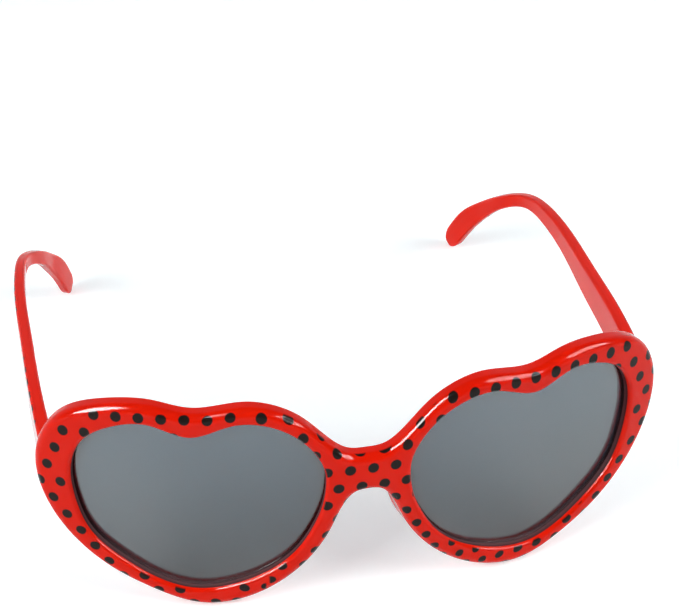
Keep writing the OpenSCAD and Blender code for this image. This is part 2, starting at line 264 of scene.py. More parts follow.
@dataclass(frozen=True)
class HeartOutline:
    """The right heart on the flat face: its opening, its lens's depth, the rim's edge and the nose pad.

    Open shares are of half the opening's width and height. Rim shares, in rim_w, lead from an opening point to
    the rim's edge, and bridge and arch shares, in bridge_w and arch_w, lead from the bridge's two edges.
    """

    lens_w: float = 59.5
    lens_h: float = 50.6
    lens_in: float = 2.2
    lens_t: float = 1.2
    pitch: float = 80.0
    rim_w: float = 5.0
    bridge_h: float = 10.7
    bridge_z: float = 10.25
    bridge_w: float = 7.6
    arch_w: float = 5.4
    open_shares: tuple = (
        (-1.01, 0.42), (-0.98, 0.57), (-0.91, 0.73), (-0.72, 0.96), (-0.32, 1.06), (0.03, 0.91),
        (0.34, 1.02), (0.59, 0.97), (0.85, 0.76), (0.98, 0.36), (0.96, 0.01), (0.85, -0.36),
        (0.57, -0.67), (0.3, -0.86), (0.03, -0.94), (-0.3, -0.86), (-0.56, -0.7), (-0.77, -0.47),
        (-0.91, -0.18), (-0.98, 0.05), (-1, 0.17), (-1.01, 0.28),
    )
    rim_shares: tuple = (
        (-0.98, 0.08), (-0.58, 0.52), (-0.44, 0.9), (0.04, 1.24), (-0.18, 0.98), (0.3, 1.12),
        (1.24, 1.12), (1.76, 0.84), (1.64, -0.24), (0.86, -0.76), (0.68, -0.74), (0.38, -0.76),
        (-0.14, -1.02), (-0.4, -1.04), (-0.38, -0.98), (-0.54, -0.8), (-0.9, -0.3),
    )
    pad_shares: tuple = (0, 0.1, 0.55, 1, 1, 0.45, 0, 0)
    bridge_shares: tuple = ((0, 0), (0.5, 0.04))
    arch_shares: tuple = ((0.87, -0.48), (0.5, -0.09), (0, 0))

    @property
    def middle(self) -> Array:
        """The bridge's middle line, seen from the middle of the opening."""
        return np.array([-self.pitch / 2, 0.0])

    def opening_points(self) -> Array:
        """The given points of the opening."""
        return np.array(self.open_shares) * [self.lens_w / 2, self.lens_h / 2]

    def rim_points(self) -> Array:
        """The given points of the rim's outer edge.

        Returns:
            One row per point, from the bridge's top round the heart to the nose arch.
        """
        top = self.middle + [0, self.bridge_z + self.bridge_h / 2]
        low = self.middle + [0, self.bridge_z - self.bridge_h / 2]
        inner = self.opening_points()[len(self.bridge_shares):-len(self.arch_shares)]
        return np.concatenate([
            top + self.bridge_w * np.array(self.bridge_shares),
            inner + self.rim_w * np.array(self.rim_shares),
            low + self.arch_w * np.array(self.arch_shares),
        ])

    def opening(self, index: Array) -> tuple[Array, Array]:
        """Points of the opening's edge and the directions away from the opening."""
        place, heading = smooth_curve(self.opening_points(), index, closed=True)
        return place, left_of(heading)

    def rim(self, index: Array, margin: float) -> tuple[Array, Array]:
        """Points of the rim's outer edge and the directions out of the rim.

        The edge is one loop round both hearts. The last span of a heart has no edge: it goes straight up the
        bridge's middle, where the two halves meet.

        Args:
            index: stations, whole part for the outline's span.
            margin: how far the last span stays away from the bridge's two edges.

        Returns:
            The points and the directions, which are zero on the last span.
        """
        points = self.rim_points()
        mirrored = points[-2:0:-1] * [-1, 1] + [2 * self.middle[0], 0]
        place, heading = smooth_curve(np.concatenate([points, mirrored]), index, closed=True)
        out = left_of(heading)
        last = len(points) - 1
        share = (index - last)[:, None]
        inside = index > last
        low, top = points[-1] + [0, margin], points[0] - [0, margin]
        place[inside] = (low + (top - low) * share)[inside]
        out[inside] = 0
        return place, out

    def pad(self, index: Array) -> Array:
        """How far the nose pad stands out: a smooth curve through pad_shares, held above 0.

        Args:
            index: stations, whole part for the outline's span.

        Returns:
            The share of the pad's full reach at each station.
        """
        full = np.zeros(len(self.open_shares) + 1)
        full[-len(self.pad_shares) - 1:-1] = self.pad_shares
        share, _ = smooth_curve(np.stack([np.arange(len(full)), full], axis=1), index, closed=False)
        return np.maximum(share[:, 1], 0)


# Finishes. A MapRange node takes a value, the span that it is read over and the span that it gives. A Mix
# node of colours has the second colour's share as input 0 and the two as 6 and 7. Nearly all of a noise
# texture's values lie in NOISE_SPAN.

NOISE_SPAN = (0.3, 0.7)


def colour(text: str) -> tuple[float, float, float, float]:
    """An sRGB hex value as opaque linear light: a 12.92th up to 0.04045, above it the 2.4 power law."""
    parts = [int(text[k:k + 2], 16) / 255 for k in (1, 3, 5)]
    return (*[p / 12.92 if p <= 0.04045 else ((p + 0.055) / 1.055) ** 2.4 for p in parts], 1.0)


@dataclass
class Recipe:
    """A material, or the world's light, put together node by node."""

    name: str
    world: bool = False

    def __post_init__(self) -> None:
        """Starts an empty node tree with its output."""
        self.owner = (bpy.data.worlds if self.world else bpy.data.materials).new(self.name)
        self.owner.use_nodes = True
        self.owner.node_tree.nodes.clear()
        self.output = self.add("OutputWorld" if self.world else "OutputMaterial")

    def add(self, kind: str, links: dict | tuple = (), **settings: object) -> bpy.types.Node:
        """Adds a node with its settings and links.

        Args:
            kind: the node's type without its ShaderNode prefix.
            links: values, sockets or nodes (their first output in use), in the order of the node's inputs or
                under their names or numbers.
            settings: the node's own properties.

        Returns:
            The node.
        """
        node = self.owner.node_tree.nodes.new("ShaderNode" + kind)
        for key, value in settings.items():
            setattr(node, key, value)
        for key, value in links.items() if isinstance(links, dict) else enumerate(links):
            if isinstance(value, bpy.types.Node):
                value = next(socket for socket in value.outputs if socket.enabled)
            if isinstance(value, bpy.types.NodeSocket):
                self.owner.node_tree.links.new(value, node.inputs[key])
            else:
                node.inputs[key].default_value = value
        return node

    def finish(self, shader: bpy.types.Node) -> bpy.types.Material | bpy.types.World:
        """Joins the last shader to the output and gives the material or the world."""
        self.owner.node_tree.links.new(shader.outputs[0], self.output.inputs["Surface"])
        return self.owner


@dataclass(frozen=True)
class DottedPlastic:
    """Injection moulded polycarbonate, pigmented red and polished in the mould, with dots printed on it.

    The mould's polish gives a wet gloss, with sharp highlights and a barely visible flow ripple, and the ink
    lies under the same gloss. Dots stand in staggered rows, and both of their steps are millimetres on the
    print. Polish marks are too fine to show, so they are drawn as wide as grain.
    """

    name: str
    red: str = "#DE1B04"
    deep_red: str = "#D51403"
    ink: str = "#1E1815"
    # The wall colours are painted shade on the openings' inner walls: dark red, lighter at the foot next to
    # the lens.
    wall: str = "#3C090D"
    wall_foot_painted_shade: str = "#4E272B"
    step_along: float = 5.34
    step_up: float = 4.624
    dot: float = 2.6
    dot_blur: float = 0.09
    roughness: tuple[float, float] = (0.0765, 0.108)
    wall_roughness: float = 0.6
    shine: float = 0.1
    grain: float = 0.8
    ripple: float = 9.0
    ripple_depth: float = 0.2
    ripple_strength: float = 0.12
    ink_depth: float = 0.05
    deep_span: tuple[float, float] = (0.35, 0.65)
    deep_share: float = 0.35

    def dots(self, recipe: Recipe) -> bpy.types.Node:
        """Share of ink at a place of the print.

        The place is counted in steps. What is left of it to the nearest whole count, back in millimetres, is
        the distance to a dot of the first grid, and the second grid lies half a step over both ways. The
        smaller distance is set against the dot's radius.

        Args:
            recipe: the material that the nodes go to.

        Returns:
            The node that gives the share.
        """
        place = recipe.add("Attribute", attribute_name=Place.PRINT.value).outputs["Vector"]
        steps = (self.step_along, 2 * self.step_up)
        counts = (1 / steps[0], 1 / steps[1], 0.0)
        reach = []
        for over in (0.0, 0.5):
            half_over = (over + 0.5, over + 0.5, 0.5)
            count = recipe.add("VectorMath", (place, counts, half_over), operation="MULTIPLY_ADD")
            part = recipe.add("VectorMath", (count,), operation="FRACTION")
            away = recipe.add("VectorMath", (part, (0.5, 0.5, 0.5)), operation="SUBTRACT")
            flat = recipe.add("VectorMath", (away, (*steps, 1.0)), operation="MULTIPLY")
            reach.append(recipe.add("VectorMath", (flat,), operation="LENGTH"))
        nearest = recipe.add("Math", tuple(reach), operation="MINIMUM")
        radius = self.dot / 2
        inked = recipe.add("MapRange", (nearest, radius + self.dot_blur, radius - self.dot_blur, 0.0, 1.0))
        printed = recipe.add("SeparateXYZ", (place,)).outputs[2]
        return recipe.add("Math", (inked, printed), operation="MULTIPLY")

    def make(self) -> bpy.types.Material:
        """Mixes a slightly uneven red, the openings' dull wall darkened as painted shade, and the dots.

        Returns:
            The finished material.
        """
        recipe = Recipe(self.name)
        place = recipe.add("TexCoord").outputs["Object"]
        flow = recipe.add("TexNoise", {"Vector": place, "Scale": 1 / (self.ripple * MM), "Detail": 2.0})
        grain = recipe.add("TexNoise", {"Vector": place, "Scale": 1 / (self.grain * MM), "Detail": 2.0})
        deep = recipe.add("MapRange", (flow, *self.deep_span, 0.0, self.deep_share))
        red = recipe.add("Mix", {0: deep, 6: colour(self.red), 7: colour(self.deep_red)}, data_type="RGBA")
        # Painted shade: the openings' inner wall turns dark red, lighter at its foot by the lens, and rougher.
        groove = recipe.add("Attribute", attribute_name=Place.GROOVE.value).outputs["Vector"]
        shaded_wall_share, foot, _ = recipe.add("SeparateXYZ", (groove,)).outputs
        dark = recipe.add("Mix", {0: foot, 6: colour(self.wall), 7: colour(self.wall_foot_painted_shade)}, data_type="RGBA")
        red = recipe.add("Mix", {0: shaded_wall_share, 6: red, 7: dark}, data_type="RGBA")
        ink = self.dots(recipe)
        base = recipe.add("Mix", {0: ink, 6: red, 7: colour(self.ink)}, data_type="RGBA")
        gloss = recipe.add("MapRange", (grain, *NOISE_SPAN, *self.roughness))
        gloss = recipe.add("Math", (shaded_wall_share, self.wall_roughness, gloss), operation="MULTIPLY_ADD")
        height = recipe.add("Math", (ink, self.ink_depth, flow), operation="MULTIPLY_ADD")
        depth = self.ripple_depth * MM
        bump = recipe.add("Bump", {"Height": height, "Strength": self.ripple_strength, "Distance": depth})
        return recipe.finish(recipe.add("BsdfPrincipled", {
            "Base Color": base, "Roughness": gloss, "IOR": 1.5, "Normal": bump,
            "Specular IOR Level": self.shine,
        }))


@dataclass(frozen=True)
class SmokeLens:
    """Cut acrylic sheet tinted smoke grey.

    The polished sheet gives a flawless gloss over a dark, faintly cloudy tint, with painted light and shade
    over
    it: bluer and lighter towards the top, darker towards the bottom. Each face lets a third of the light
    through, so an eighth of what lies behind shows. Next to the edge that the groove holds, a dark red ring is
    painted as the groove's shade and the lens's reflection of the red wall: greyish pink low down, darker red
    higher up.
    """

    name: str = "smoke_tinted_acrylic_sheet"
    tint: str = "#3D5362"
    # From tint at the top to the low tint at the bottom, over heights, the grey is painted light above and
    # shade below.
    low_tint_painted_shade: str = "#132529"
    cloud: str = "#70777C"
    # ring and high_ring_painted_shade paint the edge's shade and reflection, lighter below ring_heights and
    # darker above.
    ring: str = "#674D50"
    high_ring_painted_shade: str = "#27070C"
    alpha: float = 0.65
    roughness: tuple[float, float] = (0.03, 0.048)
    heights: tuple[float, float] = (6.0, 56.0)
    ring_heights: tuple[float, float] = (7.0, 21.0)
    cloud_w: float = 14.0
    cloud_share: float = 0.04

    def make(self) -> bpy.types.Material:
        """Mixes a grey with painted bluish light at the top and shade below, a faint cloud and a painted edge
        ring.

        Returns:
            The finished material.
        """
        recipe = Recipe(self.name)
        place = recipe.add("TexCoord").outputs["Object"]
        up = recipe.add("SeparateXYZ", (place,)).outputs[2]
        share, raised = (
            recipe.add("MapRange", (up, low * MM, high * MM, 0.0, 1.0))
            for low, high in (self.heights, self.ring_heights)
        )
        haze = recipe.add("TexNoise", {"Vector": place, "Scale": 1 / (self.cloud_w * MM), "Detail": 3.0})
        cloudy = recipe.add("MapRange", (haze, *NOISE_SPAN, 0.0, self.cloud_share))
        held = recipe.add("Attribute", attribute_name=Place.GROOVE.value).outputs["Vector"]
        edge = recipe.add("SeparateXYZ", (held,))
        # Painted light and shade: the grey is bluer and lighter at the top, darker towards the bottom.
        tint = recipe.add("Mix", {0: share, 6: colour(self.low_tint_painted_shade), 7: colour(self.tint)}, data_type="RGBA")
        tint = recipe.add("Mix", {0: cloudy, 6: tint, 7: colour(self.cloud)}, data_type="RGBA")
        # Painted edge ring: the wall's reflection low down, the groove's shade higher up.
        low_ring_shade_and_reflection, high_ring_painted_shade = colour(self.ring), colour(self.high_ring_painted_shade)
        ring = recipe.add("Mix", {0: raised, 6: low_ring_shade_and_reflection, 7: high_ring_painted_shade}, data_type="RGBA")
        tint = recipe.add("Mix", {0: edge, 6: tint, 7: ring}, data_type="RGBA")
        gloss = recipe.add("MapRange", (haze, *NOISE_SPAN, *self.roughness))
        return recipe.finish(recipe.add("BsdfPrincipled", {
            "Base Color": tint, "Roughness": gloss, "IOR": 1.49, "Alpha": self.alpha,
        }))


@dataclass(frozen=True)
class HingeMetal:
    """Nickel plated steel, blanked and brushed for the leaves and turned for the screws.

    The plating gives a cool grey mirror that fine lines blur one way, with a few duller, warmer spots. The
    lines of the real metal are too fine to show, so they are drawn as wide as the short way of stretch.
    """

    name: str
    tone: str
    roughness: tuple[float, float]
    stretch: tuple[float, float, float]
    tarnish: str = "#8E8B84"
    tarnish_w: float = 1.5
    tarnish_span: tuple[float, float] = (0.4, 0.7)
    tarnish_share: float = 0.4
    line_depth: float = 0.03
    line_strength: float = 0.3

    def make(self) -> bpy.types.Material:
        """Mixes the tone and its tarnish, under lines drawn by noise that is stretched along them.

        Returns:
            The finished material.
        """
        recipe = Recipe(self.name)
        place = recipe.add("TexCoord").outputs["Object"]
        lines = recipe.add("Mapping", {0: place, "Scale": tuple(1 / (s * MM) for s in self.stretch)})
        brush = recipe.add("TexNoise", {"Vector": lines, "Scale": 1.0, "Detail": 4.0})
        spots = recipe.add("TexNoise", {"Vector": place, "Scale": 1 / (self.tarnish_w * MM), "Detail": 3.0})
        dull = recipe.add("MapRange", (spots, *self.tarnish_span, 0.0, self.tarnish_share))
        base = recipe.add("Mix", {0: dull, 6: colour(self.tone), 7: colour(self.tarnish)}, data_type="RGBA")
        gloss = recipe.add("MapRange", (brush, *NOISE_SPAN, *self.roughness))
        depth = self.line_depth * MM
        bump = recipe.add("Bump", {"Height": brush, "Strength": self.line_strength, "Distance": depth})
        return recipe.finish(recipe.add("BsdfPrincipled", {
            "Base Color": base, "Metallic": 1.0, "Roughness": gloss, "Normal": bump,
        }))


# The pieces


@dataclass(frozen=True)
class Film:
    """A piece of the printed film as it lies on a heart, with its own stretch."""

    stretch: float
    shift: float
    rise: float
    sag: float
    bow: float
    drop: float
    lean: float = 0.0
    sweep: float = 0.0
    twist: float = 0.0

    def lay(self, along: Array, up: Array) -> tuple[Array, Array]:
        """Where points lie on the film's rows of dots.

        The place in a row is the sum of stretch times along, lean times up, sweep times up squared and shift.
        The level across the rows is the sum of rise times up, sag times up squared, bow times along squared
        and twist times both, less drop.

        Args:
            along: millimetres to the right of the bridge's middle.
            up: millimetres above the middle of the openings.

        Returns:
            The places and the levels, in millimetres.
        """
        place = self.stretch * along + self.lean * up + self.sweep * up**2 + self.shift
        level = self.rise * up + self.sag * up**2 + self.bow * along**2 + self.twist * along * up - self.drop
        return place, level


@dataclass(frozen=True)
class DotPrint:
    """The print on the front: a main film, a second one past the seam on the left, and the worn places.

    It was laid on the flat blank and drawn over the edge, so the dots run on over the rounding. The right
    heart's lower half leans in, and next to the seam both films were pulled at the top. The seam is bare. Far
    from the bridge the ink hardly runs over the edge, and at the worn places the dot is gone. A field that
    ends in over holds where an eased share starts and the span over which it grows to the whole.
    """

    main: Film = Film(stretch=1.0, shift=1.75, rise=0.985, sag=-0.004, bow=0.0006, drop=6.8)
    second: Film = Film(stretch=1.036, shift=4.2, lean=0.104, sweep=-0.0018, rise=1.05, sag=-0.0023,
                        bow=0.0008, twist=0.0015, drop=9.2)
    right_stretch: float = 0.017
    lean_in: float = 0.2
    lean_over: tuple[float, float] = (7.5, 28.0)
    top_over: tuple[float, float] = (12.0, 8.0)
    pull_over: tuple[float, float] = (17.5, 6.0)
    pull_along: float = 1.2
    pull_up: float = 0.55
    second_over: tuple[float, float] = (-36.0, 4.0)
    second_up: float = 0.85
    seam: float = 25.5
    seam_lean: float = 0.08
    seam_half: float = 0.4
    far_reach: float = 0.5
    far_from: float = 46.0
    worn_r: float = 2.2
    worn_left: tuple = (
        (-74.48, 20.5), (-76.9, 14.92), (-67.64, 16.32), (-69.59, 10.99), (-69.16, 0.75), (-39.11, -24.15),
        (-34.06, -23.42), (-11.63, -2.87), (-16.76, -12.23), (-13.97, -7.62), (-67.48, 26.54), (-38.87, 23.8),
    )
    worn_right: tuple = ((69.83, 8.98), (69.30, -0.91), (71.76, 24.59))

    def places(self, side: Side, along: Array, up: Array, run: Array, printed: Array) -> Array:
        """Where points of the front lie on the print.

        Each point takes its place from its film, and every lean or pull is a length times an eased share.

        Args:
            side: the heart that the points are on.
            along: millimetres to the right of the bridge's middle, on the flat blank.
            up: millimetres above the middle of the openings.
            run: how far the print has run over the edge there.
            printed: 1 where the face or the rounding takes print, 0 elsewhere.

        Returns:
            Place along the rows, level across them and the printed share, three numbers a point.
        """
        place, level = self.main.lay(along, up)
        place = place + self.right_stretch * np.maximum(along, 0)
        place = place - self.lean_in * np.minimum(up, 0) * ease(along, *self.lean_over)
        top = ease(up, *self.top_over)
        pulled = ease(-along, *self.pull_over) * top
        place, level = place + self.pull_along * pulled, level - self.pull_up * pulled
        second_place, second_level = self.second.lay(along, up)
        second_level = second_level - self.second_up * ease(along, *self.second_over) * top
        past_seam = -self.seam - self.seam_lean * up - along
        beyond = (past_seam > 0) & (side is Side.LEFT)
        place, level = np.where(beyond, second_place, place), np.where(beyond, second_level, level)
        far = (np.abs(along) > self.far_from) & (run > self.far_reach)
        printed = printed * (np.abs(past_seam) > self.seam_half) * ~far
        for worn in self.worn_left if side is Side.LEFT else self.worn_right:
            printed = printed * (np.hypot(along - worn[0], up - worn[1]) > self.worn_r)
        return np.stack([place, level, printed], axis=-1)


@dataclass
class FrontMoulding:
    """The front in one moulding: rims, bridge and nose pads.

    At each station of the outline the rim is cut across, and the cut's points are laid on the bend. The cut
    runs from the opening's lip over the face and the rounded edge, down the side and the pad, along the back
    and through the lens groove to the lip again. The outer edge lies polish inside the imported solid's, which
    keeps the finer surface in its box.
    """

    outline: HeartOutline
    bend: Bend
    standing: Standing
    film: DotPrint = DotPrint()
    front_t: float = 4.5
    edge_r: float = 2.1
    back_r: float = 0.8
    lip_r: float = 0.9
    back_lip_r: float = 0.2
    polish: float = 0.17
    pad_d: float = 4.5
    pad_out: float = 1.2
    pad_t: float = 1.6
    pad_foot_share: float = 1.3
    face_play: float = 0.05
    groove: float = 0.9
    print_fall: float = 0.78
    lip_print_turn: float = 35.0
    edge_print_share: float = 0.8
    crease: float = 40.0
    steps: int = 18
    quarter_steps: int = 8
    face_shares: tuple = (0.03, 0.2, 0.4, 0.6, 0.8, 0.97)
    side_shares: tuple = (0.06, 0.2, 0.4, 0.6, 0.8, 0.94)
    heel_shares: tuple = (0.05, 0.5, 1.0)
    foot_shares: tuple = (0.25, 0.5, 0.75, 1.0)
    back_shares: tuple = (0.08, 0.5, 0.94)
    wall_shares: tuple = ((0.95, 1.0), (0.6, 0.9), (0.3, 0.0), (0.08, 0.0))

    def cut(self, index: Array) -> tuple[Array, Array, Array, tuple[int, int]]:
        """All cuts at once.

        With p and q for the opening's edge and its direction, and o and r for the outer edge's, each point is
        an edge point moved along its direction, at a depth. A rounding is a quarter circle: its turn moves
        the point by the radius times the sine outwards and times 1 less the cosine back. A flat stretch goes
        from its start to its end by shares, and the side leans out by the share squared.

        Args:
            index: stations, whole part for the outline's span.

        Returns:
            Flat places (stations, rows, 2), depths (stations, rows), the finish of each point and the first
            and last row of the outer edge. The finish is how far the print has run over the edge, if it is
            printed, the share of the opening's wall that is painted in shade and the share of that wall's
            foot, where the painted shade is lighter.
        """
        p, q = self.outline.opening(index)
        o, r = self.outline.rim(index, self.edge_r + self.polish)
        o = o - self.polish * r
        w = self.outline.pad(index)
        lean = w * self.pad_out
        back = self.front_t + w * self.pad_d
        rows: list[tuple[Array, Array, float, float, float, float]] = []

        def put(place: Array, depth: Array | float, run: float = 0.0, printed: float = 0.0, wall: float = 0.0,
                foot: float = 0.0) -> None:
            """Adds one row of points to the cut."""
            rows.append((place, np.broadcast_to(depth, index.shape), run, printed, wall, foot))

        quarter = np.radians(np.linspace(0, 90, self.quarter_steps))
        for a in quarter[::2]:
            put(p + self.lip_r * (1 - math.cos(a)) * q, self.lip_r * (1 - math.sin(a)),
                printed=float(a > math.radians(self.lip_print_turn)))
        start, end = p + self.lip_r * q, o - self.edge_r * r
        for t in self.face_shares:
            put(start + (end - start) * t, 0.0, printed=1.0)
        first_outer = len(rows)
        for a in quarter:
            depth = self.edge_r * (1 - math.cos(a))
            put(end + self.edge_r * math.sin(a) * r, depth, run=self.print_fall * depth,
                printed=float(depth < self.edge_print_share * self.edge_r))
        for t in self.side_shares:
            put(o + (lean * t * t)[:, None] * r, self.edge_r + (back - self.back_r - self.edge_r) * t)
        for a in quarter[::2]:
            inwards = (lean - self.back_r * (1 - math.cos(a)))[:, None]
            put(o + inwards * r, back - self.back_r * (1 - math.sin(a)))
        heel, toe = lean - self.pad_t, -self.pad_t * self.pad_foot_share
        for t in self.heel_shares:
            put(o + (lean - self.back_r + (heel - lean + self.back_r) * t)[:, None] * r, back)
        for t in self.foot_shares:
            inwards = (heel + (toe - heel) * t)[:, None]
            put(o + inwards * r, back + (self.front_t - back) * ease(t))
        last_outer = len(rows) - 1
        toe_place, lip_place = o + toe * r, p + self.back_lip_r * q
        for t in self.back_shares:
            put(toe_place + (lip_place - toe_place) * t, self.front_t)
        for a in quarter[::2]:
            depth = self.front_t - self.back_lip_r * (1 - math.cos(a))
            put(p + self.back_lip_r * (1 - math.sin(a)) * q, depth)
        groove_back = self.outline.lens_in + self.outline.lens_t + self.face_play
        groove_front = self.outline.lens_in - self.face_play
        put(p, groove_back)
        # These rows take the painted shade of the opening's wall, and foot marks its lighter part by the lens.
        put(p + self.groove * q, groove_back, wall=1.0)
        put(p + self.groove * q, groove_front, wall=1.0)
        put(p, groove_front, wall=1.0, foot=1.0)
        for t, foot in self.wall_shares:
            put(p, self.lip_r + (groove_front - self.lip_r) * t, wall=1.0, foot=foot)
        flat = np.stack([row[0] for row in rows], axis=1)
        depth = np.stack([row[1] for row in rows], axis=1)
        finish = np.broadcast_to(np.array([row[2:] for row in rows]), (*depth.shape, 4)).copy()
        return flat, depth, finish, (first_outer, last_outer)

    def build(self) -> bpy.types.Object:
        """Makes the front's mesh: both halves, open where they meet in the bridge's middle, welded there.

        Returns:
            The front's object.
        """
        spans = len(self.outline.open_shares)
        stations = np.arange(spans * self.steps) / self.steps
        flat, depth, finish, (first_outer, last_outer) = self.cut(stations)
        _, out = self.outline.rim(stations, self.edge_r + self.polish)
        columns, rows = depth.shape
        faces = grid_faces(columns, rows, closed_columns=True, closed_rows=True)
        column, row = faces[:, 0] // rows, faces[:, 0] % rows
        middle = (spans - 1) * self.steps
        faces = faces[~((column >= middle) & (row >= first_outer) & (row < last_outer))]
        run, printed, shaded_wall_share, foot = np.moveaxis(finish, -1, 0)
        printed_at = flat + run[..., None] * out[:, None, :]
        points, marks, quads = [], [], []
        for number, side in enumerate(Side):
            across = flat[..., 0] - self.outline.middle[0]
            points.append(self.bend.wrap(side, across, flat[..., 1], depth).reshape(-1, 3))
            along = side.value * (printed_at[..., 0] - self.outline.middle[0])
            marks.append(self.film.places(side, along, printed_at[..., 1], run, printed).reshape(-1, 3))
            quads.append((faces if side is Side.RIGHT else faces[:, ::-1]) + number * columns * rows)
        # The groove attribute carries the wall's painted shade and its lighter foot.
        groove = np.stack([shaded_wall_share, foot, foot], axis=-1).reshape(-1, 3)
        marked = {Place.PRINT: np.concatenate(marks), Place.GROOVE: np.concatenate([groove, groove])}
        places = self.standing.place(np.concatenate(points))
        return add_mesh("moulded_front", places, np.concatenate(quads), marked, self.crease)

    def dress(self, piece: bpy.types.Object, finish: bpy.types.Material) -> None:
        """Gives the front its finish, hangs it on the front's body and hides the imported front.

        Args:
            piece: the front's object.
            finish: its material.
        """
        piece.data.materials.append(finish)
        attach(piece, "front")
        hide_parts("front_frame")


@dataclass
class HeartLens:
    """A lens: a heart cut from bent sheet, held by its edge in the groove."""

    outline: HeartOutline
    bend: Bend
    standing: Standing
    side: Side
    held: float = 0.5
    edge_bevel: float = 0.08
    ring_over: tuple[float, float] = (0.6, 1.0)
    crease: float = 30.0
    steps: int = 8
    middle_shares: tuple = tuple(np.linspace(0, 0.9, 16))
    rim_shares: tuple = (0.92, 0.935, 0.95, 0.965, 0.98)

    def build(self) -> bpy.types.Object:
        """Makes the lens's mesh.

        Rings shrink from the cut edge to the middle, where they meet: a point is the edge's point times the
        ring's share. One set lies on the front surface, one on the back, with a small bevel at the edge. The
        edge ring of painted shade and reflection fades from the start to the end of ring_over, inwards of the
        opening's edge.

        Returns:
            The lens's object.
        """
        stations = np.arange(len(self.outline.open_shares) * self.steps) / self.steps
        p, q = self.outline.opening(stations)
        edge = p + self.held * q
        inset = edge - self.edge_bevel * q
        shares = np.array(self.middle_shares + self.rim_shares)
        front, back = self.outline.lens_in, self.outline.lens_in + self.outline.lens_t
        rows = [(inset * t, front) for t in shares]
        rows += [(inset, front), (edge, front + self.edge_bevel)]
        rows += [(edge, back - self.edge_bevel), (inset, back)]
        rows += [(inset * t, back) for t in shares[::-1]]
        flat = np.stack([row[0] for row in rows], axis=1)
        depth = np.array([row[1] for row in rows])[None, :]
        places = self.bend.wrap(self.side, flat[..., 0] - self.outline.middle[0], flat[..., 1], depth)
        faces = grid_faces(len(stations), len(rows), closed_columns=True, closed_rows=False)
        points = self.standing.place(places.reshape(-1, 3))
        inwards = np.linalg.norm(flat - edge[:, None], axis=-1) - self.held
        ring = 1 - ease(inwards, *self.ring_over)
        # The groove attribute marks the lens's edge ring of painted shade and reflection.
        marked = {Place.GROOVE: np.repeat(ring.reshape(-1, 1), 3, axis=1)}
        return add_mesh(f"{self.side.word}_smoke_lens", points, faces, marked, self.crease)

    def dress(self, piece: bpy.types.Object, finish: bpy.types.Material) -> None:
        """Gives the lens its finish, hangs it on the front's body and hides the imported lens.

        Args:
            piece: the lens's object.
            finish: its material.
        """
        piece.data.materials.append(finish)
        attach(piece, "front")
        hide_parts(f"{self.side.word}_lens")


